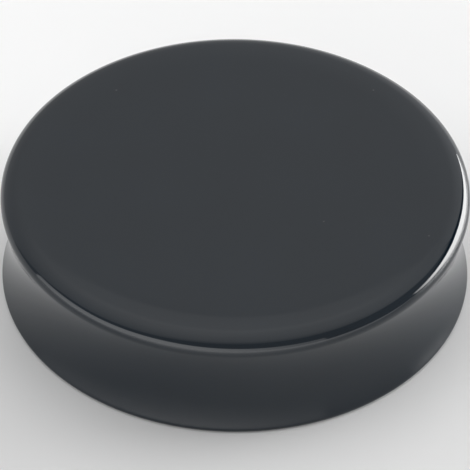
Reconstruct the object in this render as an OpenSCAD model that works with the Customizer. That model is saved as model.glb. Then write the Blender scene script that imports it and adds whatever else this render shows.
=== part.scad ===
/* [Cap] */
// Largest diameter of the cap, at its top rim and at its foot
cap_d = 30; // [24:0.5:40]
// Height of the cap, from the board to the flat middle of the top
cap_h = 7.8; // [7.3:0.1:10]
// Width of the border in which the top rolls off, counted from the rim
border_w = 3; // [2.5:0.25:5]
// Radius of the soft arc of that border
border_r = 28; // [16:2:60]
// Radius of the shoulder, which takes the border over into the rim
shoulder_r = 1.5; // [1.2:0.1:2]
// Slope at which the shoulder ends on the rim, in degrees
shoulder_a = 48; // [40:1:60]
// Radius of the round of the top rim
rim_r = 0.8; // [0.5:0.05:1.1]
// Radius of the small round at the foot
foot_r = 0.3; // [0.15:0.05:0.5]
// How far the waist lies inside the rim and the foot
waist_in = 0.55; // [0.4:0.05:0.9]

/* [Chamber] */
// Thickness of the side wall, from the waist to the chamber's wall at the roof
wall_t = 1.7; // [1.2:0.05:2.4]
// Thickness of the top over the magnet's chamber
roof_t = 1.6; // [1.2:0.1:2]
// Gap all round between the magnet's edge and the chamber's wall
wall_gap = 0.25; // [0.15:0.05:0.35]
// Draft of the chamber's wall, in degrees
draft = 0.5; // [0:0.25:1]
// Bevel round the chamber's mouth, which leads the magnet in
lead_in = 0.35; // [0.2:0.05:0.5]
// Radius of the corner between the chamber's wall and its roof
corner_r = 0.5; // [0.3:0.05:0.7]

/* [Seat] */
// Number of ribs that run out from the ring to the wall
seat_ribs = 6; // [3:1:8]
// Thickness of those ribs and of the ring
seat_t = 1; // [0.8:0.05:1.4]
// Inner diameter of the ring that keeps the glue in
ring_d = 11; // [8:0.5:15]
// Number of half-round ribs on the wall that centre the magnet
centring_ribs = 6; // [3:1:8]
// Diameter of a centring rib
centring_d = 0.8; // [0.6:0.05:1]
// Gap between a centring rib and the magnet's edge
centring_fit = 0.02; // [0.01:0.01:0.05]
// Height above the board at which the centring ribs begin
centring_z = 1; // [0.8:0.1:2]
// Length of the point at the lower end of a centring rib
centring_tip = 0.8; // [0.4:0.1:1.2]

/* [Magnet] */
// Thickness of the ferrite disc
magnet_h = 5; // [4:0.25:5.25]
// Bevel round both faces of the ferrite disc
magnet_bevel = 0.3; // [0.1:0.05:0.5]
// How far the magnet's face stays back from the board
recess = 0.15; // [0.05:0.05:0.3]

/* [Glue] */
// Gap between the flattened drop of glue and the ring around it
glue_gap = 1.2; // [0.4:0.1:2.5]
// How far the drop's free side bulges
glue_bulge = 0.25; // [0.15:0.05:0.35]

/* [Hidden] */
$fn = 128;

cap_r = cap_d / 2;
chamber_r = cap_r - waist_in - wall_t;
magnet_r = chamber_r - wall_gap;
roof_z = cap_h - roof_t;
magnet_back = recess + magnet_h;
seat_h = roof_z - magnet_back;
ring_r = ring_d / 2;
// How far a rib reaches into the wall and the roof that carry it
root = 0.2;
// How far a cut runs out of the solid
clear = 1;
// Largest angle between two points of a drawn arc
arc_step = 5;
// Fewest steps of a drawn arc
arc_least = 3;

// The outline's arcs, each centre as [distance from the axis, height].
// Each arc meets the next one on the line through both centres.
foot_c = [cap_r - foot_r, foot_r];
shoulder_x = cap_r - rim_r - (shoulder_r - rim_r) * sin(shoulder_a);
border_x = cap_r - border_w;
border_a = asin((shoulder_x - border_x) / (border_r - shoulder_r));
border_c = [border_x, cap_h - border_r];
shoulder_c = [shoulder_x, border_c[1] + (border_r - shoulder_r) * cos(border_a)];
rim_c = shoulder_c + (shoulder_r - rim_r) * [sin(shoulder_a), cos(shoulder_a)];
waist_z = (rim_c[1] + foot_c[1]) / 2 - waist_in * (rim_r - foot_r) / (rim_c[1] - foot_c[1]);
waist_r = (pow(waist_z - foot_c[1], 2) + pow(waist_in, 2)) / (2 * waist_in) - foot_r;
waist_c = [cap_r - waist_in + waist_r, waist_z];
rim_a = asin((waist_c[1] - rim_c[1]) / (waist_r + rim_r));
foot_a = asin((waist_c[1] - foot_c[1]) / (waist_r + foot_r));

// Points along an arc, from its centre and radius, between two angles
function arc(c, r, from, to) =
    let (steps = max(arc_least, ceil(abs(to - from) / arc_step)))
    [for (i = [0:steps]) let (a = from + (to - from) * i / steps) c + r * [cos(a), sin(a)]];

// Radius of the chamber's drafted wall at a height
function wall_at(z) = chamber_r + (roof_z - z) * tan(draft);

// Half section of the cap's outside: foot, waist, rim, shoulder, soft border and flat top
module outline() {
    polygon(concat(
        [[0, 0]],
        arc(foot_c, foot_r, -90, foot_a),
        arc(waist_c, waist_r, 180 + foot_a, 180 + rim_a),
        arc(rim_c, rim_r, rim_a, 90 - shoulder_a),
        arc(shoulder_c, shoulder_r, 90 - shoulder_a, 90 - border_a),
        arc(border_c, border_r, 90 - border_a, 90),
        [[0, cap_h]]
    ));
}

// Half section of the chamber: beveled mouth, drafted wall and rounded corner
module chamber() {
    corner_z = roof_z - corner_r;
    corner_x = wall_at(corner_z) - corner_r;
    polygon([
        [0, -clear],
        [wall_at(lead_in) + lead_in + clear, -clear],
        [wall_at(lead_in), lead_in],
        [wall_at(corner_z), corner_z],
        [corner_x, corner_z],
        [corner_x, roof_z],
        [0, roof_z]
    ]);
    intersection() {
        translate([corner_x, corner_z]) circle(corner_r);
        translate([corner_x, corner_z]) square(corner_r);
    }
}

// Ring and radial ribs under the roof, on which the magnet's back rests
module seat() {
    translate([0, 0, magnet_back])
        linear_extrude(seat_h + root) {
            difference() {
                circle(ring_r + seat_t);
                circle(ring_r);
            }
            for (i = [0:seat_ribs - 1])
                rotate(360 / seat_ribs * i)
                    translate([ring_r + seat_t / 2, -seat_t / 2])
                        square([chamber_r + root - ring_r - seat_t / 2, seat_t]);
        }
}

// Half-round ribs on the wall, pointed at the mouth's end
module centring() {
    rib_r = centring_d / 2;
    for (i = [0:centring_ribs - 1])
        rotate(360 / centring_ribs * (i + 0.5))
            translate([magnet_r + centring_fit + rib_r, 0, centring_z]) {
                cylinder(h = centring_tip, r1 = rib_r / 4, r2 = rib_r, $fn = 48);
                translate([0, 0, centring_tip])
                    cylinder(h = roof_z + root - centring_z - centring_tip, r = rib_r, $fn = 48);
            }
}

// The moulded cap: one piece with its waist, its chamber and its ribs
module cap() {
    color([0.21, 0.22, 0.24]) {
        rotate_extrude()
            difference() {
                outline();
                chamber();
            }
        seat();
        centring();
    }
}

// The pressed and ground ferrite disc
module magnet() {
    color([0.30, 0.29, 0.28])
        translate([0, 0, recess])
            rotate_extrude()
                polygon([
                    [0, 0],
                    [magnet_r - magnet_bevel, 0],
                    [magnet_r, magnet_bevel],
                    [magnet_r, magnet_h - magnet_bevel],
                    [magnet_r - magnet_bevel, magnet_h],
                    [0, magnet_h]
                ]);
}

// The drop of glue, pressed flat between the magnet's back and the roof
module adhesive() {
    glue_r = ring_r - glue_gap;
    side_r = (pow(seat_h / 2, 2) + pow(glue_bulge, 2)) / (2 * glue_bulge);
    color([0.85, 0.80, 0.62])
        translate([0, 0, magnet_back])
            rotate_extrude()
                intersection() {
                    square([ring_r, seat_h]);
                    union() {
                        translate([glue_r - side_r, seat_h / 2]) circle(side_r);
                        square([glue_r - side_r, seat_h]);
                    }
                }
}

cap();
magnet();
adhesive();
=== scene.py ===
import math

import bpy
from mathutils import Matrix, Vector


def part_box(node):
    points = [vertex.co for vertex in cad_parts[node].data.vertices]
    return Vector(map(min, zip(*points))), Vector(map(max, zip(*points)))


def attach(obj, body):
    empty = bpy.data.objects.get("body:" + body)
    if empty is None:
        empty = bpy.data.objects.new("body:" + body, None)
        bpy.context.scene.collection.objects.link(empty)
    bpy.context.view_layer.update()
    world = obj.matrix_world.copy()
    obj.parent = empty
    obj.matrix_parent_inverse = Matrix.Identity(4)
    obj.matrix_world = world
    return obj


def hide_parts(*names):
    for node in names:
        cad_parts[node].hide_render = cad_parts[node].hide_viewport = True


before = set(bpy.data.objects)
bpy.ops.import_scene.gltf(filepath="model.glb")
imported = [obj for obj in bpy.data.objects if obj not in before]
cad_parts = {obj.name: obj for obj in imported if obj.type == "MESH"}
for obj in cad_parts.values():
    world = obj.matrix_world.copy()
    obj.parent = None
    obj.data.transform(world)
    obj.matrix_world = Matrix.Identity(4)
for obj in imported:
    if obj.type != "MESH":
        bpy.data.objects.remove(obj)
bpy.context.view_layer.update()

mm = 0.001
scene = bpy.context.scene
print("frame loaded:", ", ".join(sorted(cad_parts)))


# camera, fitted to the outlines of the rim and the foot in the photograph

viewSettings = {
    "aimX": -0.0058 * mm,       # the picture's middle lies this far beside the axis
    "aimHeight": 3.2857 * mm,
    "elevation": 41.949,        # degrees above the table
    "roll": 0.431,              # degrees, the right side hangs a little lower
    "distance": 393.4 * mm,
    "pixelsPerMetre": 15571.4,  # at the aim point
    "pictureWidth": 470,        # pixels
    "sensorWidth": 36,          # millimetres, as the lens is
    "nearest": 0.01,
    "farthest": 50,
}


def makeCamera(s):
    elevation, roll = math.radians(s["elevation"]), math.radians(s["roll"])
    ahead = Vector((0, math.cos(elevation), -math.sin(elevation)))
    right = Vector((1, 0, 0))
    up = right.cross(ahead)
    leanRight = right * math.cos(roll) + up * math.sin(roll)
    leanUp = up * math.cos(roll) - right * math.sin(roll)
    place = Vector((s["aimX"], 0, s["aimHeight"])) - ahead * s["distance"]
    data = bpy.data.cameras.new("photoCamera")
    data.sensor_fit = "HORIZONTAL"
    data.sensor_width = s["sensorWidth"]
    data.lens = s["pixelsPerMetre"] * s["distance"] * s["sensorWidth"] / s["pictureWidth"]
    data.clip_start = s["nearest"]
    data.clip_end = s["farthest"]
    camera = bpy.data.objects.new("photoCamera", data)
    turn = Matrix((leanRight, leanUp, -ahead)).transposed().to_4x4()
    camera.matrix_world = Matrix.Translation(place) @ turn
    scene.collection.objects.link(camera)
    scene.camera = camera


makeCamera(viewSettings)
scene.view_settings.view_transform = "Standard"
print("camera set")


# helpers for node trees

def addNode(tree, kind, **values):
    node = tree.nodes.new(kind)
    for name, value in values.items():
        setattr(node, name, value)
    return node


def feed(tree, socket, value):
    if isinstance(value, bpy.types.NodeSocket):
        tree.links.new(value, socket)
    elif value is not None:
        socket.default_value = value


def calc(tree, operation, a, b=None, c=None, clamp=False):
    node = addNode(tree, "ShaderNodeMath", operation=operation, use_clamp=clamp)
    for socket, value in zip(node.inputs, (a, b, c)):
        feed(tree, socket, value)
    return node.outputs[0]


def newGroup(name, kind, inputs, outputs):
    tree = bpy.data.node_groups.new(name, kind)
    for label, socketKind in inputs:
        tree.interface.new_socket(label, in_out="INPUT", socket_type="NodeSocket" + socketKind)
    for label, socketKind in outputs:
        tree.interface.new_socket(label, in_out="OUTPUT", socket_type="NodeSocket" + socketKind)
    source, target = addNode(tree, "NodeGroupInput"), addNode(tree, "NodeGroupOutput")
    return tree, source.outputs, target.inputs


def useGroup(tree, group, **values):
    kind = "GeometryNodeGroup" if tree.bl_idname == "GeometryNodeTree" else "ShaderNodeGroup"
    node = addNode(tree, kind, node_tree=group)
    for label, value in values.items():
        feed(tree, node.inputs[label], value)
    return node


# geometry node groups

def makeTurnGroup():
    # turns a chain of points in the XZ plane round the Z axis and closes the seam and the poles
    tree, given, result = newGroup(
        "turnedProfile", "GeometryNodeTree",
        [("Profile", "Geometry"), ("Segments", "Int"), ("Weld", "Float")], [("Mesh", "Geometry")])
    size = addNode(tree, "GeometryNodeAttributeDomainSize", component="MESH")
    feed(tree, size.inputs[0], given["Profile"])
    count = size.outputs["Point Count"]
    grid = addNode(tree, "GeometryNodeMeshGrid")
    feed(tree, grid.inputs["Vertices X"], count)
    feed(tree, grid.inputs["Vertices Y"], calc(tree, "ADD", given["Segments"], 1))
    where = addNode(tree, "ShaderNodeSeparateXYZ")
    feed(tree, where.inputs[0], addNode(tree, "GeometryNodeInputPosition").outputs[0])
    # the grid spans 1 by 1 round its middle
    along = calc(tree, "MULTIPLY", calc(tree, "ADD", where.outputs[0], 0.5), calc(tree, "SUBTRACT", count, 1))
    angle = calc(tree, "MULTIPLY", calc(tree, "ADD", where.outputs[1], 0.5), 2 * math.pi)
    pick = addNode(tree, "GeometryNodeSampleIndex", data_type="FLOAT_VECTOR", domain="POINT")
    feed(tree, pick.inputs["Geometry"], given["Profile"])
    feed(tree, pick.inputs["Value"], addNode(tree, "GeometryNodeInputPosition").outputs[0])
    feed(tree, pick.inputs["Index"], calc(tree, "ROUND", along))
    point = addNode(tree, "ShaderNodeSeparateXYZ")
    feed(tree, point.inputs[0], pick.outputs[0])
    place = addNode(tree, "ShaderNodeCombineXYZ")
    feed(tree, place.inputs[0], calc(tree, "MULTIPLY", point.outputs[0], calc(tree, "COSINE", angle)))
    feed(tree, place.inputs[1], calc(tree, "MULTIPLY", point.outputs[0], calc(tree, "SINE", angle)))
    feed(tree, place.inputs[2], point.outputs[2])
    move = addNode(tree, "GeometryNodeSetPosition")
    feed(tree, move.inputs["Geometry"], grid.outputs["Mesh"])
    feed(tree, move.inputs["Position"], place.outputs[0])
    weld = addNode(tree, "GeometryNodeMergeByDistance")
    feed(tree, weld.inputs["Geometry"], move.outputs[0])
    feed(tree, weld.inputs["Distance"], given["Weld"])
    feed(tree, result["Mesh"], weld.outputs[0])
    return tree


def makeRoundPatternGroup():
    # sets copies of a piece round the Z axis
    tree, given, result = newGroup(
        "roundPattern", "GeometryNodeTree",
        [("Piece", "Geometry"), ("Count", "Int"), ("First Angle", "Float")], [("Instances", "Geometry")])
    line = addNode(tree, "GeometryNodeMeshLine")
    feed(tree, line.inputs["Count"], given["Count"])
    line.inputs["Offset"].default_value = (0, 0, 0)
    step = calc(tree, "DIVIDE", 2 * math.pi, given["Count"])
    turn = addNode(tree, "ShaderNodeCombineXYZ")
    index = addNode(tree, "GeometryNodeInputIndex").outputs[0]
    feed(tree, turn.inputs[2], calc(tree, "MULTIPLY_ADD", index, step, given["First Angle"]))
    copies = addNode(tree, "GeometryNodeInstanceOnPoints")
    feed(tree, copies.inputs["Points"], line.outputs[0])
    feed(tree, copies.inputs["Instance"], given["Piece"])
    feed(tree, copies.inputs["Rotation"], turn.outputs[0])
    feed(tree, result["Instances"], copies.outputs[0])
    return tree


def makeFinishGroup():
    # smooth faces with sharp edges where two faces meet steeply, and the material
    tree, given, result = newGroup(
        "finishedSurface", "GeometryNodeTree",
        [("Mesh", "Geometry"), ("Crease", "Float"), ("Material", "Material")], [("Mesh", "Geometry")])
    faces = addNode(tree, "GeometryNodeSetShadeSmooth", domain="FACE")
    feed(tree, faces.inputs["Geometry"], given["Mesh"])
    fold = addNode(tree, "GeometryNodeInputMeshEdgeAngle").outputs["Unsigned Angle"]
    edges = addNode(tree, "GeometryNodeSetShadeSmooth", domain="EDGE")
    feed(tree, edges.inputs["Geometry"], faces.outputs[0])
    feed(tree, edges.inputs["Selection"], calc(tree, "GREATER_THAN", fold, given["Crease"]))
    edges.inputs["Shade Smooth"].default_value = False
    real = addNode(tree, "GeometryNodeRealizeInstances")
    feed(tree, real.inputs[0], edges.outputs[0])
    paint = addNode(tree, "GeometryNodeSetMaterial")
    feed(tree, paint.inputs["Geometry"], real.outputs[0])
    feed(tree, paint.inputs["Material"], given["Material"])
    feed(tree, result["Mesh"], paint.outputs[0])
    return tree


turnGroup = makeTurnGroup()
patternGroup = makeRoundPatternGroup()
finishGroup = makeFinishGroup()


def newModifierTree(name, inputs):
    tree, given, result = newGroup(
        name, "GeometryNodeTree", [("Profile", "Geometry")] + inputs, [("Mesh", "Geometry")])
    tree.is_modifier = True
    return tree, given, result


def runTree(name, points, tree, values, shortest=1e-8):
    # builds the profile, runs the tree on it once and keeps the result as a plain mesh
    chain = [points[0]]
    for point in points[1:]:
        if math.dist(point, chain[-1]) > shortest:
            chain.append(point)
    mesh = bpy.data.meshes.new(name + "Profile")
    mesh.from_pydata([(x, 0, z) for x, z in chain], [(i, i + 1) for i in range(len(chain) - 1)], [])
    profile = bpy.data.objects.new(name + "Profile", mesh)
    scene.collection.objects.link(profile)
    modifier = profile.modifiers.new("shape", "NODES")
    modifier.node_group = tree
    inputs = [s for s in tree.interface.items_tree if s.item_type == "SOCKET" and s.in_out == "INPUT"]
    sockets = {s.name: s.identifier for s in inputs}
    for label, value in values.items():
        modifier[sockets[label]] = value
    profile.update_tag()
    shown = profile.evaluated_get(bpy.context.evaluated_depsgraph_get())
    made = bpy.data.meshes.new_from_object(shown)
    made.name = name
    profile.modifiers.remove(modifier)
    bpy.data.objects.remove(profile)
    bpy.data.meshes.remove(mesh)
    piece = bpy.data.objects.new(name, made)
    scene.collection.objects.link(piece)
    print(name, "has", len(made.polygons), "faces")
    return piece


def arcPoints(centre, radius, start, end, steps):
    turns = [math.radians(start + (end - start) * i / steps) for i in range(steps + 1)]
    return [(centre[0] + radius * math.cos(a), centre[1] + radius * math.sin(a)) for a in turns]


# shader node groups

def makeDriftGroup(detail=4, noiseLow=0.3, noiseHigh=0.7):
    # slow drift between two values over the surface
    tree, given, result = newGroup(
        "slowDrift", "ShaderNodeTree",
        [("Place", "Vector"), ("Scale", "Float"), ("Low", "Float"), ("High", "Float")], [("Value", "Float")])
    noise = addNode(tree, "ShaderNodeTexNoise")
    feed(tree, noise.inputs["Vector"], given["Place"])
    feed(tree, noise.inputs["Scale"], given["Scale"])
    noise.inputs["Detail"].default_value = detail
    ramp = addNode(tree, "ShaderNodeMapRange")
    feed(tree, ramp.inputs["Value"], noise.outputs["Fac"])
    ramp.inputs["From Min"].default_value = noiseLow
    ramp.inputs["From Max"].default_value = noiseHigh
    feed(tree, ramp.inputs["To Min"], given["Low"])
    feed(tree, ramp.inputs["To Max"], given["High"])
    feed(tree, result["Value"], ramp.outputs[0])
    return tree


def makeSpeckGroup():
    # small separate specks, as dust on plastic or pores in a pressed part
    tree, given, result = newGroup(
        "smallSpecks", "ShaderNodeTree",
        [("Place", "Vector"), ("Scale", "Float"), ("Size", "Float"), ("Share", "Float")], [("Mask", "Float")])
    cells = addNode(tree, "ShaderNodeTexVoronoi", feature="F1")
    feed(tree, cells.inputs["Vector"], given["Place"])
    feed(tree, cells.inputs["Scale"], given["Scale"])
    near = addNode(tree, "ShaderNodeMapRange", interpolation_type="SMOOTHSTEP")
    feed(tree, near.inputs["Value"], cells.outputs["Distance"])
    feed(tree, near.inputs["From Min"], given["Size"])
    near.inputs["From Max"].default_value = 0
    near.inputs["To Min"].default_value = 0
    near.inputs["To Max"].default_value = 1
    chance = addNode(tree, "ShaderNodeSeparateColor")
    feed(tree, chance.inputs[0], cells.outputs["Color"])
    few = calc(tree, "LESS_THAN", chance.outputs[0], given["Share"])
    feed(tree, result["Mask"], calc(tree, "MULTIPLY", near.outputs[0], few))
    return tree


driftGroup = makeDriftGroup()
speckGroup = makeSpeckGroup()


def newMaterial(name):
    material = bpy.data.materials.new(name)
    material.use_nodes = True
    tree = material.node_tree
    shader = tree.nodes["Principled BSDF"]
    place = addNode(tree, "ShaderNodeTexCoord").outputs["Object"]
    return material, tree, shader, place


def drift(tree, place, scale, low=0.0, high=1.0):
    return useGroup(tree, driftGroup, Place=place, Scale=scale, Low=low, High=high).outputs[0]


def specks(tree, place, scale, size, share):
    return useGroup(tree, speckGroup, Place=place, Scale=scale, Size=size, Share=share).outputs[0]


def addBump(tree, strength, depth, height):
    bump = addNode(tree, "ShaderNodeBump")
    bump.inputs["Strength"].default_value = strength
    bump.inputs["Distance"].default_value = depth
    feed(tree, bump.inputs["Height"], height)
    return bump.outputs[0]


def mixColour(tree, share, first, second):
    node = addNode(tree, "ShaderNodeMix", data_type="RGBA")
    feed(tree, node.inputs["Factor"], share)
    feed(tree, node.inputs[6], first)
    feed(tree, node.inputs[7], second)
    return node.outputs[2]


# cap: one moulding, turned from the same arcs as the solid, with its seat and centring ribs

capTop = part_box("cap")[1]
capShape = {
    "radius": capTop.x,
    "height": capTop.z,
    "borderWidth": 3 * mm,
    "borderRadius": 28 * mm,
    "shoulderRadius": 1.5 * mm,
    "shoulderSlope": 48,         # degrees
    "rimRadius": 0.8 * mm,
    "footRadius": 0.3 * mm,
    "waistDepth": 0.55 * mm,
    "wall": 1.7 * mm,
    "roof": 1.6 * mm,
    "draft": 0.5,                # degrees
    "mouthBevel": 0.35 * mm,
    "chamberCorner": 0.5 * mm,
    "ringRadius": 5.5 * mm,
    "ringWall": 1 * mm,
    "ribCount": 6,
    "postCount": 6,
    "postRadius": 0.4 * mm,
    "postGap": 0.02 * mm,
    "postStart": 1 * mm,
    "postTip": 0.8 * mm,
    "postPoint": 0.25,           # width of its point, as a share of its own
    "postSides": 24,
    "root": 0.2 * mm,            # how far a rib reaches into what carries it
    "segments": 384,
    # straight pieces in each stretch of the outline
    "steps": {"top": 6, "border": 6, "shoulder": 22, "rim": 16, "waist": 40, "foot": 16, "corner": 6},
    "crease": math.radians(25),
    "weld": 0.001 * mm,
}


def capProfile(s, magnetBack):
    slope = math.radians(s["shoulderSlope"])
    foot = (s["radius"] - s["footRadius"], s["footRadius"])
    inner = s["shoulderRadius"] - s["rimRadius"]
    shoulderX = s["radius"] - s["rimRadius"] - inner * math.sin(slope)
    borderX = s["radius"] - s["borderWidth"]
    borderSlope = math.asin((shoulderX - borderX) / (s["borderRadius"] - s["shoulderRadius"]))
    border = (borderX, s["height"] - s["borderRadius"])
    shoulder = (shoulderX, border[1] + (s["borderRadius"] - s["shoulderRadius"]) * math.cos(borderSlope))
    rim = (shoulder[0] + inner * math.sin(slope), shoulder[1] + inner * math.cos(slope))
    depth = s["waistDepth"]
    waistZ = (rim[1] + foot[1]) / 2 - depth * (s["rimRadius"] - s["footRadius"]) / (rim[1] - foot[1])
    waistRadius = ((waistZ - foot[1]) ** 2 + depth ** 2) / (2 * depth) - s["footRadius"]
    waist = (s["radius"] - depth + waistRadius, waistZ)
    rimTurn = math.degrees(math.asin((waistZ - rim[1]) / (waistRadius + s["rimRadius"])))
    footTurn = math.degrees(math.asin((waistZ - foot[1]) / (waistRadius + s["footRadius"])))
    borderTurn, shoulderTurn = 90 - math.degrees(borderSlope), 90 - s["shoulderSlope"]
    steps = s["steps"]
    points = [(borderX * i / steps["top"], s["height"]) for i in range(steps["top"])]
    points += arcPoints(border, s["borderRadius"], 90, borderTurn, steps["border"])
    points += arcPoints(shoulder, s["shoulderRadius"], borderTurn, shoulderTurn, steps["shoulder"])
    points += arcPoints(rim, s["rimRadius"], shoulderTurn, rimTurn, steps["rim"])
    points += arcPoints(waist, waistRadius, 180 + rimTurn, 180 + footTurn, steps["waist"])
    points += arcPoints(foot, s["footRadius"], footTurn, -90, steps["foot"])
    # the chamber, from its mouth to the middle of the roof
    roofZ = s["height"] - s["roof"]
    wallX = lambda z: s["radius"] - depth - s["wall"] + (roofZ - z) * math.tan(math.radians(s["draft"]))
    corner = (wallX(roofZ - s["chamberCorner"]) - s["chamberCorner"], roofZ - s["chamberCorner"])
    mouthX = wallX(s["mouthBevel"])
    points += [(mouthX + s["mouthBevel"], 0), (mouthX, s["mouthBevel"])]
    points += arcPoints(corner, s["chamberCorner"], 0, 90, steps["corner"])
    ringOut = s["ringRadius"] + s["ringWall"]
    points += [(ringOut, roofZ), (ringOut, magnetBack)]
    points += [(s["ringRadius"], magnetBack), (s["ringRadius"], roofZ), (0, roofZ)]
    return points, roofZ, wallX(roofZ)


def makeCapTree():
    tree, given, result = newModifierTree("waistedCap", [
        ("Segments", "Int"), ("Weld", "Float"), ("Crease", "Float"), ("Material", "Material"),
        ("Rib Count", "Int"), ("Rib Thickness", "Float"), ("Rib Start", "Float"), ("Rib End", "Float"),
        ("Rib Bottom", "Float"), ("Rib Top", "Float"), ("Post Count", "Int"), ("Post Sides", "Int"),
        ("Post Radius", "Float"), ("Post Place", "Float"), ("Post Bottom", "Float"), ("Post Tip", "Float"),
        ("Post Point", "Float")])
    body = useGroup(tree, turnGroup, Profile=given["Profile"], Segments=given["Segments"], Weld=given["Weld"])
    # a seat rib is a plain bar between the ring and the wall
    bar = addNode(tree, "GeometryNodeMeshCube")
    size = addNode(tree, "ShaderNodeCombineXYZ")
    feed(tree, size.inputs[0], calc(tree, "SUBTRACT", given["Rib End"], given["Rib Start"]))
    feed(tree, size.inputs[1], given["Rib Thickness"])
    feed(tree, size.inputs[2], calc(tree, "SUBTRACT", given["Rib Top"], given["Rib Bottom"]))
    feed(tree, bar.inputs["Size"], size.outputs[0])
    middle = addNode(tree, "ShaderNodeCombineXYZ")
    across = calc(tree, "ADD", given["Rib End"], given["Rib Start"])
    upward = calc(tree, "ADD", given["Rib Top"], given["Rib Bottom"])
    feed(tree, middle.inputs[0], calc(tree, "MULTIPLY", across, 0.5))
    feed(tree, middle.inputs[2], calc(tree, "MULTIPLY", upward, 0.5))
    seated = addNode(tree, "GeometryNodeTransform")
    feed(tree, seated.inputs["Geometry"], bar.outputs["Mesh"])
    feed(tree, seated.inputs["Translation"], middle.outputs[0])
    ribs = useGroup(tree, patternGroup, Piece=seated.outputs[0], Count=given["Rib Count"])
    # a centring post is a rod with a pointed lower end, made from a cylinder of two rows
    rod = addNode(tree, "GeometryNodeMeshCylinder")
    feed(tree, rod.inputs["Vertices"], given["Post Sides"])
    rod.inputs["Side Segments"].default_value = 2
    rod.inputs["Radius"].default_value = 1
    rod.inputs["Depth"].default_value = 2
    at = addNode(tree, "ShaderNodeSeparateXYZ")
    feed(tree, at.inputs[0], addNode(tree, "GeometryNodeInputPosition").outputs[0])
    lower = calc(tree, "ADD", at.outputs[2], 1, clamp=True)
    upper = calc(tree, "MULTIPLY", at.outputs[2], 1, clamp=True)
    widening = calc(tree, "SUBTRACT", 1, given["Post Point"])
    taper = calc(tree, "MULTIPLY_ADD", lower, widening, given["Post Point"])
    width = calc(tree, "MULTIPLY", given["Post Radius"], taper)
    pointed = calc(tree, "ADD", given["Post Bottom"], given["Post Tip"])
    shaft = calc(tree, "SUBTRACT", given["Rib Top"], pointed)
    height = calc(tree, "MULTIPLY_ADD", lower, given["Post Tip"], given["Post Bottom"])
    stand = addNode(tree, "ShaderNodeCombineXYZ")
    feed(tree, stand.inputs[0], calc(tree, "MULTIPLY_ADD", at.outputs[0], width, given["Post Place"]))
    feed(tree, stand.inputs[1], calc(tree, "MULTIPLY", at.outputs[1], width))
    feed(tree, stand.inputs[2], calc(tree, "MULTIPLY_ADD", upper, shaft, height))
    post = addNode(tree, "GeometryNodeSetPosition")
    feed(tree, post.inputs["Geometry"], rod.outputs["Mesh"])
    feed(tree, post.inputs["Position"], stand.outputs[0])
    half = calc(tree, "DIVIDE", math.pi, given["Post Count"])
    posts = useGroup(
        tree, patternGroup, Piece=post.outputs[0], Count=given["Post Count"], **{"First Angle": half})
    union = addNode(tree, "GeometryNodeMeshBoolean", operation="UNION", solver="EXACT")
    for part in (body.outputs[0], ribs.outputs[0], posts.outputs[0]):
        tree.links.new(part, union.inputs["Mesh 2"])
    done = useGroup(
        tree, finishGroup, Mesh=union.outputs["Mesh"], Crease=given["Crease"], Material=given["Material"])
    feed(tree, result["Mesh"], done.outputs[0])
    return tree


capFinish = {
    "dark": (0.0037, 0.008, 0.0132, 1),
    "light": (0.0045, 0.0095, 0.0154, 1),
    "dust": (0.035, 0.037, 0.04, 1),
    "ior": 1.5,
    "roughLow": 0.05,
    "roughHigh": 0.075,
    "roughScale": 420.0,
    "driftScale": 180.0,
    "dustScale": 900.0,
    "dustSize": 0.11,
    "dustShare": 0.05,           # of all cells of the pattern
    "dustRough": 0.4,
    "waveScale": 700.0,
    "waveDepth": 0.001 * mm,
    "waveStrength": 0.5,
}


def makeCapMaterial(s):
    material, tree, shader, place = newMaterial("anthracitePlastic")
    tone = drift(tree, place, s["driftScale"])
    dust = specks(tree, place, s["dustScale"], s["dustSize"], s["dustShare"])
    colour = mixColour(tree, tone, s["dark"], s["light"])
    feed(tree, shader.inputs["Base Color"], mixColour(tree, dust, colour, s["dust"]))
    rough = drift(tree, place, s["roughScale"], s["roughLow"], s["roughHigh"])
    feed(tree, shader.inputs["Roughness"], calc(tree, "MULTIPLY_ADD", dust, s["dustRough"], rough))
    shader.inputs["IOR"].default_value = s["ior"]
    # very fine waviness of a polished mould
    wave = drift(tree, place, s["waveScale"])
    feed(tree, shader.inputs["Normal"], addBump(tree, s["waveStrength"], s["waveDepth"], wave))
    return material


magnetLow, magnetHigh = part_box("magnet")
capPoints, roofZ, chamberRadius = capProfile(capShape, magnetHigh.z)
capPiece = runTree("capMoulding", capPoints, makeCapTree(), {
    "Segments": capShape["segments"],
    "Weld": capShape["weld"],
    "Crease": capShape["crease"],
    "Material": makeCapMaterial(capFinish),
    "Rib Count": capShape["ribCount"],
    "Rib Thickness": capShape["ringWall"],
    "Rib Start": capShape["ringRadius"] + capShape["ringWall"] / 2,
    "Rib End": chamberRadius + capShape["root"],
    "Rib Bottom": magnetHigh.z,
    "Rib Top": roofZ + capShape["root"],
    "Post Count": capShape["postCount"],
    "Post Sides": capShape["postSides"],
    "Post Radius": capShape["postRadius"],
    "Post Place": magnetHigh.x + capShape["postGap"] + capShape["postRadius"],
    "Post Bottom": capShape["postStart"],
    "Post Tip": capShape["postTip"],
    "Post Point": capShape["postPoint"],
})
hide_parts("cap")
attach(capPiece, "root")


# magnet: a pressed and ground ferrite disc with a chipped edge

magnetShape = {
    "radius": magnetHigh.x,
    "bottom": magnetLow.z,
    "top": magnetHigh.z,
    "bevel": 0.3 * mm,
    "rings": (0, 0.25, 0.5, 0.75, 0.9, 0.97, 0.985),    # across a flat face, as shares of its radius
    "bevelSteps": 4,
    "sideSteps": 8,
    "chipDepth": 0.16 * mm,
    "chipScale": 520.0,
    "chipDetail": 2.0,
    "chipFrom": 0.55,            # noise below this leaves the edge whole
    "chipTo": 0.75,
    "segments": 384,
    "crease": math.radians(30),
    "weld": 0.001 * mm,
}


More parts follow.
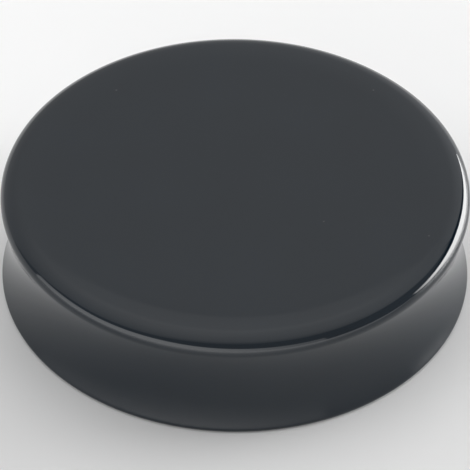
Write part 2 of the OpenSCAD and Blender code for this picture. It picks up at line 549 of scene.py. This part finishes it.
def magnetProfile(s):
    r, low, high, bevel = s["radius"], s["bottom"], s["top"], s["bevel"]
    cuts, rows = s["bevelSteps"], s["sideSteps"]
    flat = [(r - bevel) * f for f in s["rings"]]
    points = [(x, high) for x in flat]
    points += [(r - bevel * (1 - i / cuts), high - bevel * i / cuts) for i in range(cuts + 1)]
    points += [(r, high - bevel - (high - low - 2 * bevel) * i / rows) for i in range(1, rows)]
    points += [(r - bevel * i / cuts, low + bevel * (1 - i / cuts)) for i in range(cuts + 1)]
    points += [(x, low) for x in reversed(flat)]
    return points


def makeMagnetTree():
    tree, given, result = newModifierTree("chippedDisc", [
        ("Segments", "Int"), ("Weld", "Float"), ("Crease", "Float"), ("Material", "Material"),
        ("Chip Depth", "Float"), ("Chip Scale", "Float"), ("Chip Detail", "Float"), ("Chip From", "Float"),
        ("Chip To", "Float")])
    disc = useGroup(tree, turnGroup, Profile=given["Profile"], Segments=given["Segments"], Weld=given["Weld"])
    position = addNode(tree, "GeometryNodeInputPosition").outputs[0]
    normal = addNode(tree, "GeometryNodeInputNormal").outputs[0]
    noise = addNode(tree, "ShaderNodeTexNoise")
    feed(tree, noise.inputs["Vector"], position)
    feed(tree, noise.inputs["Scale"], given["Chip Scale"])
    feed(tree, noise.inputs["Detail"], given["Chip Detail"])
    bite = addNode(tree, "ShaderNodeMapRange")
    feed(tree, bite.inputs["Value"], noise.outputs[0])
    feed(tree, bite.inputs["From Min"], given["Chip From"])
    feed(tree, bite.inputs["From Max"], given["Chip To"])
    # only slanting faces are bitten, so the ground faces stay flat and the side stays round:
    # the slant is 0 on both and 1 halfway between them
    facing = addNode(tree, "ShaderNodeSeparateXYZ")
    feed(tree, facing.inputs[0], normal)
    steep = calc(tree, "ABSOLUTE", facing.outputs[2])
    slant = calc(tree, "MULTIPLY", calc(tree, "MULTIPLY", steep, calc(tree, "SUBTRACT", 1, steep)), 4)
    depth = calc(tree, "MULTIPLY", calc(tree, "MULTIPLY", bite.outputs[0], slant), given["Chip Depth"])
    inward = addNode(tree, "ShaderNodeVectorMath", operation="SCALE")
    feed(tree, inward.inputs[0], normal)
    feed(tree, inward.inputs["Scale"], calc(tree, "MULTIPLY", depth, -1))
    chipped = addNode(tree, "GeometryNodeSetPosition")
    feed(tree, chipped.inputs["Geometry"], disc.outputs[0])
    feed(tree, chipped.inputs["Offset"], inward.outputs[0])
    done = useGroup(
        tree, finishGroup, Mesh=chipped.outputs[0], Crease=given["Crease"], Material=given["Material"])
    feed(tree, result["Mesh"], done.outputs[0])
    return tree


magnetFinish = {
    "dark": (0.034, 0.032, 0.031, 1),
    "light": (0.075, 0.071, 0.068, 1),
    "pore": (0.008, 0.008, 0.008, 1),
    "roughLow": 0.42,
    "roughHigh": 0.62,
    "roughScale": 300.0,
    "grainScale": 1500.0,
    "poreScale": 1400.0,
    "poreSize": 0.22,
    "poreShare": 0.16,
    "poreDepth": 3,              # times the depth of a grinding mark
    "markStretch": (0.03, 1, 0.3),
    "markAngle": math.radians(24),
    "markScale": 5200.0,
    "markShare": 0.45,           # of the colour's change, the rest is grain
    "bumpDepth": 0.006 * mm,
    "bumpStrength": 0.6,
}


def makeMagnetMaterial(s):
    material, tree, shader, place = newMaterial("groundFerrite")
    # grinding leaves straight marks along one direction
    stretch = addNode(tree, "ShaderNodeMapping")
    stretch.inputs["Scale"].default_value = s["markStretch"]
    stretch.inputs["Rotation"].default_value = (0, 0, s["markAngle"])
    feed(tree, stretch.inputs["Vector"], place)
    marks = drift(tree, stretch.outputs[0], s["markScale"])
    grain = calc(tree, "MULTIPLY", drift(tree, place, s["grainScale"]), 1 - s["markShare"])
    tone = calc(tree, "MULTIPLY_ADD", marks, s["markShare"], grain)
    pores = specks(tree, place, s["poreScale"], s["poreSize"], s["poreShare"])
    colour = mixColour(tree, tone, s["dark"], s["light"])
    feed(tree, shader.inputs["Base Color"], mixColour(tree, pores, colour, s["pore"]))
    rough = drift(tree, place, s["roughScale"], s["roughLow"], s["roughHigh"])
    feed(tree, shader.inputs["Roughness"], rough)
    height = calc(tree, "SUBTRACT", marks, calc(tree, "MULTIPLY", pores, s["poreDepth"]))
    feed(tree, shader.inputs["Normal"], addBump(tree, s["bumpStrength"], s["bumpDepth"], height))
    return material


magnetPiece = runTree("ferriteDisc", magnetProfile(magnetShape), makeMagnetTree(), {
    "Segments": magnetShape["segments"],
    "Weld": magnetShape["weld"],
    "Crease": magnetShape["crease"],
    "Material": makeMagnetMaterial(magnetFinish),
    "Chip Depth": magnetShape["chipDepth"],
    "Chip Scale": magnetShape["chipScale"],
    "Chip Detail": magnetShape["chipDetail"],
    "Chip From": magnetShape["chipFrom"],
    "Chip To": magnetShape["chipTo"],
})
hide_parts("magnet")
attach(magnetPiece, "root")


# adhesive: the solid stays and gets the look of cured glue

glueFinish = {
    "clear": (0.62, 0.55, 0.36, 1),
    "deep": (0.40, 0.32, 0.16, 1),
    "bubble": (0.85, 0.82, 0.70, 1),
    "roughLow": 0.18,
    "roughHigh": 0.34,
    "roughScale": 600.0,
    "driftScale": 350.0,
    "bubbleScale": 1100.0,
    "bubbleSize": 0.3,
    "bubbleShare": 0.12,
    "bumpDepth": 0.01 * mm,
    "bumpStrength": 0.5,
}


def makeGlueMaterial(s):
    material, tree, shader, place = newMaterial("curedGlue")
    tone = drift(tree, place, s["driftScale"])
    bubbles = specks(tree, place, s["bubbleScale"], s["bubbleSize"], s["bubbleShare"])
    colour = mixColour(tree, tone, s["deep"], s["clear"])
    feed(tree, shader.inputs["Base Color"], mixColour(tree, bubbles, colour, s["bubble"]))
    rough = drift(tree, place, s["roughScale"], s["roughLow"], s["roughHigh"])
    feed(tree, shader.inputs["Roughness"], rough)
    height = calc(tree, "ADD", tone, bubbles)
    feed(tree, shader.inputs["Normal"], addBump(tree, s["bumpStrength"], s["bumpDepth"], height))
    return material


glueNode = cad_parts["adhesive"]
glueNode.data.materials.clear()
glueNode.data.materials.append(makeGlueMaterial(glueFinish))
print("pieces made")


# table, light tent and world

tableSettings = {
    "halfSide": 3.0,             # metres
    "colour": 0.8,
    "grain": 0.02,
    "grainScale": 60.0,
    "roughness": 0.22,
    "ior": 1.22,
    "backLift": 0.18,
    "backFrom": -9 * mm,         # the painted glow grows from here towards the back
    "backTo": 20 * mm,
    "frontLift": 1.0,
    "frontFrom": -19.5 * mm,     # and from here towards the lamps in front, as a painted pool of their light
    "frontTo": -47 * mm,
}


def makeTable(s):
    h = s["halfSide"]
    mesh = bpy.data.meshes.new("whiteTable")
    mesh.from_pydata([(-h, -h, 0), (h, -h, 0), (h, h, 0), (-h, h, 0)], [], [(0, 1, 2, 3)])
    table = bpy.data.objects.new("whiteTable", mesh)
    scene.collection.objects.link(table)
    material, tree, shader, place = newMaterial("palePaper")
    tone = drift(tree, place, s["grainScale"], s["colour"] - s["grain"], s["colour"])
    grey = addNode(tree, "ShaderNodeCombineColor")
    for socket in grey.inputs[:3]:
        feed(tree, socket, tone)
    feed(tree, shader.inputs["Base Color"], grey.outputs[0])
    shader.inputs["Roughness"].default_value = s["roughness"]
    shader.inputs["IOR"].default_value = s["ior"]
    # painted light: where the table is looked at, straight or in a mirror, it gets a glow that lights nothing
    # more. The glow is nil just in front of the object and grows towards the back and towards the lamps in
    # front. It is a painted pool of the lamps' light, and it leaves the table just in front of the object
    # darker as painted shade.
    ray = addNode(tree, "ShaderNodeLightPath").outputs
    mirrored = calc(tree, "MAXIMUM", ray["Is Glossy Ray"], ray["Is Transmission Ray"])
    looked = calc(tree, "MAXIMUM", ray["Is Camera Ray"], mirrored)
    at = addNode(tree, "ShaderNodeSeparateXYZ")
    feed(tree, at.inputs[0], place)
    paintedGlowRamps = []
    for side, ramp in (("back", "SMOOTHSTEP"), ("front", "LINEAR")):
        rise = addNode(tree, "ShaderNodeMapRange", interpolation_type=ramp)
        feed(tree, rise.inputs["Value"], at.outputs[1])
        rise.inputs["From Min"].default_value = s[side + "From"]
        rise.inputs["From Max"].default_value = s[side + "To"]
        rise.inputs["To Max"].default_value = s[side + "Lift"]
        paintedGlowRamps.append(rise.outputs[0])
    # painted light: the table's glow, made from the two ramps above
    paintedGlow = addNode(tree, "ShaderNodeEmission")
    feed(tree, paintedGlow.inputs["Strength"], calc(tree, "MULTIPLY", looked, calc(tree, "ADD", *paintedGlowRamps)))
    both = addNode(tree, "ShaderNodeAddShader")
    feed(tree, both.inputs[0], shader.outputs[0])
    feed(tree, both.inputs[1], paintedGlow.outputs[0])
    feed(tree, tree.nodes["Material Output"].inputs["Surface"], both.outputs[0])
    mesh.materials.append(material)


makeTable(tableSettings)

# The light tent is a few glowing sheets round the object. A knot is an azimuth, the lowest and the
# highest elevation there in degrees, and how bright the sheet is from its lowest to its highest edge.
# Azimuth 0 is behind the object and 90 at its right. A glow of 1 looks white.
tent = {
    "roof": (1.4, [
        (0, 45, 90, (0.88, 1.24, 1.22, 1.15)), (30, 45, 90, (0.85, 1.15, 1.17, 1.15)),
        (55, 45, 90, (0.95, 1.09, 1.14, 1.14)), (58, 29.5, 90, (0.91, 1.01, 1.12, 1.14)),
        (84, 38.8, 90, (0.91, 1.06, 1.12, 1.13)), (108, 44.5, 90, (0.74, 1, 1.09, 1.12)),
        (132, 49, 90, (0.61, 0.95, 1.05, 1.11)), (156, 52.3, 90, (0.49, 0.92, 1.03, 1.09)),
        (180, 53, 90, (0.44, 0.9, 1.02, 1.09)), (204, 51, 90, (0.51, 0.93, 1.05, 1.11)),
        (228, 42.7, 90, (0.65, 0.92, 1.07, 1.13)), (252, 34.3, 90, (0.69, 0.92, 1.09, 1.15)),
        (267, 30.5, 90, (0.71, 0.96, 1.13, 1.17)), (272, 45, 90, (0.89, 1.03, 1.17, 1.18)),
        (312, 45, 90, (0.86, 1.13, 1.2, 1.19)), (336, 45, 90, (0.85, 1.19, 1.23, 1.19)),
        (360, 45, 90, (0.88, 1.24, 1.22, 1.15))]),
    "backSheet": (1.35, [
        (266, 30.5, 46, (0.69, 0.75, 0.83, 0.89)), (272, 25.5, 46, (0.66, 0.73, 0.81, 0.89)),
        (280, 18.5, 46, (0.59, 0.69, 0.79, 0.91)), (288, 10, 46, (0.51, 0.63, 0.75, 0.91)),
        (297, 0, 46, (0.61, 0.61, 0.72, 0.93)), (312, 0, 46, (0.63, 0.61, 0.7, 0.87)),
        (336, 0, 46, (0.47, 0.55, 0.66, 0.83)), (350, 0, 46, (0.49, 0.57, 0.67, 0.83)),
        (358, 0, 46, (0.57, 0.71, 0.75, 0.75)), (372, 0, 46, (0.69, 0.85, 0.89, 0.79)),
        (386, 0, 46, (0.67, 0.84, 0.89, 0.86)), (396, 4, 46, (0.75, 0.87, 0.91, 0.91)),
        (402, 17, 46, (0.89, 0.93, 0.94, 0.94)), (408, 24.5, 46, (0.89, 0.93, 0.95, 0.96)),
        (416, 28.5, 46, (0.89, 0.94, 0.97, 0.98))]),
    "frontStrip": (1.25, [
        (140.5, 0, 18.5, (1.14, 1.25, 1.1)), (152, 0, 20, (1.37, 1.42, 1.3)),
        (160, 0, 20.5, (1.6, 1.65, 1.45)), (176, 0, 22.5, (2.05, 2.1, 1.8)),
        (192, 0, 24, (2.43, 2.4, 2.1)), (208, 0, 26, (2.58, 2.55, 2.35)),
        (216, 0, 25.8, (2.58, 2.55, 2.35)), (228, 0, 23.6, (2.51, 2.5, 2.35)),
        (240, 0, 21.6, (2.43, 2.45, 2.3)), (256, 0, 21.6, (2.28, 2.3, 2.1)),
        (264, 0, 21, (2.13, 2.1, 1.85)), (276, 0, 18.5, (1.67, 1.7, 1.4))]),
    "window": (1.2, [
        (31, 0, 3, (6, 6)), (35, 0, 6, (8, 8.5)), (40, 0, 10, (8.3, 10)), (44, 0, 12.8, (8.6, 11.5)),
        (48, 0, 15, (8.9, 12.8)), (52, 0, 17.2, (9.3, 13.5)), (57, 0, 18.8, (9.8, 14)),
        (66, 0, 19, (9.8, 15)), (73, 0, 19.4, (7.8, 16)), (80, 3.5, 19.3, (8, 14.5)),
        (88, 2.5, 18, (6, 8.5)), (95, 6, 16.5, (3, 3.5))]),
    "windowBlind": (1.1, [
        (36, 7, 10.5, (0, 0)), (42, 12, 19, (0, 0)), (48, 15, 24.5, (0, 0)), (54, 18, 28.2, (0, 0)),
        (60, 19, 28, (0, 0)), (74, 19.5, 26, (0, 0)), (81, 19.3, 22.5, (0, 0))]),
}


def makeSheetMaterial():
    material = bpy.data.materials.new("sheetGlow")
    material.use_nodes = True
    tree = material.node_tree
    tree.nodes.clear()
    glow = addNode(tree, "ShaderNodeAttribute", attribute_name="glow")
    light = addNode(tree, "ShaderNodeEmission")
    feed(tree, light.inputs["Strength"], glow.outputs["Fac"])
    target = addNode(tree, "ShaderNodeOutputMaterial")
    feed(tree, target.inputs["Surface"], light.outputs[0])
    return material


def between(knots, azimuth):
    for first, second in zip(knots, knots[1:]):
        if azimuth <= second[0]:
            share = (azimuth - first[0]) / (second[0] - first[0])
            mixed = [p + (q - p) * share for p, q in zip(first[1:3], second[1:3])]
            return mixed + [[p + (q - p) * share for p, q in zip(first[3], second[3])]]
    return knots[-1][1:]


def makeSheet(name, radius, knots, material, step=2.0, rows=6):
    vertices, glows, faces = [], [], []
    start, end = knots[0][0], knots[-1][0]
    columns = round((end - start) / step)
    for i in range(columns + 1):
        azimuth = start + (end - start) * i / columns
        low, high, levels = between(knots, azimuth)
        turn = math.radians(azimuth)
        for j in range(rows + 1):
            rise = math.radians(low + (high - low) * j / rows)
            vertices.append((
                radius * math.cos(rise) * math.sin(turn), radius * math.cos(rise) * math.cos(turn),
                radius * math.sin(rise)))
            at = (len(levels) - 1) * j / rows
            k = min(int(at), len(levels) - 2)
            glows.append(levels[k] + (levels[k + 1] - levels[k]) * (at - k))
    for i in range(columns):
        for j in range(rows):
            k = i * (rows + 1) + j
            faces.append((k, k + 1, k + rows + 2, k + rows + 1))
    mesh = bpy.data.meshes.new(name)
    mesh.from_pydata(vertices, [], faces)
    mesh.attributes.new("glow", "FLOAT", "POINT").data.foreach_set("value", glows)
    mesh.materials.append(material)
    sheet = bpy.data.objects.new(name, mesh)
    scene.collection.objects.link(sheet)


sheetMaterial = makeSheetMaterial()
for sheetName, (sheetRadius, sheetKnots) in tent.items():
    makeSheet(sheetName, sheetRadius, sheetKnots, sheetMaterial)

roomSettings = {"colour": (0.33, 0.33, 0.33, 1), "strength": 1.0}


def makeRoom(s):
    world = bpy.data.worlds.new("dimRoom")
    scene.world = world
    world.use_nodes = True
    background = world.node_tree.nodes["Background"]
    background.inputs["Color"].default_value = s["colour"]
    background.inputs["Strength"].default_value = s["strength"]


makeRoom(roomSettings)
print("table and light tent set")
